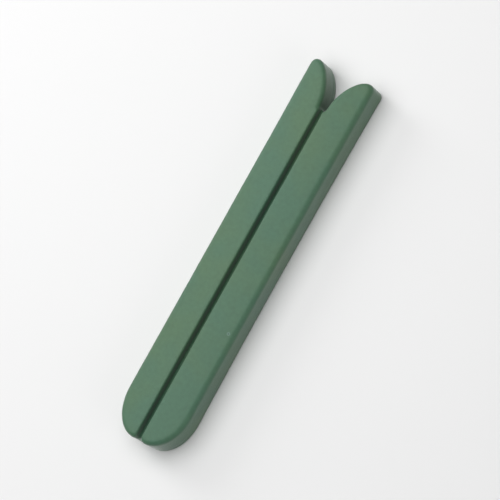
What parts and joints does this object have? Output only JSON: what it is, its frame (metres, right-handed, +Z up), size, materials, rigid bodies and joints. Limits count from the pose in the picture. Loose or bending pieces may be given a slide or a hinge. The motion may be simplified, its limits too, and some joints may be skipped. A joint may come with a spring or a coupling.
{
  "type": "floral foam bar",
  "caption": "Slim bar of matte green foam in mirrored halves laid side by side, with a rounded nose, a swallowtail end and a deep groove along the seam.",
  "frame": {"origin": "on the surface that the bar lies on, under the middle of the pair's length and width", "axes": "+Y along the bar from the rounded nose to the swallowtail end, +X across it from the left half to the right half, +Z up"},
  "size_m": [0.0412, 0.23, 0.0194],
  "materials": {
    "foam": "matte"
  },
  "bodies": {
    "left_half": {"left_half_bar": "foam"},
    "right_half": {"right_half_bar": "foam"}
  },
  "joints": [
    {"name": "parting_slide", "type": "slide", "parent": "left_half", "child": "right_half", "axis": [1, 0, 0], "range_m": [0, 0.05]}
  ]
}
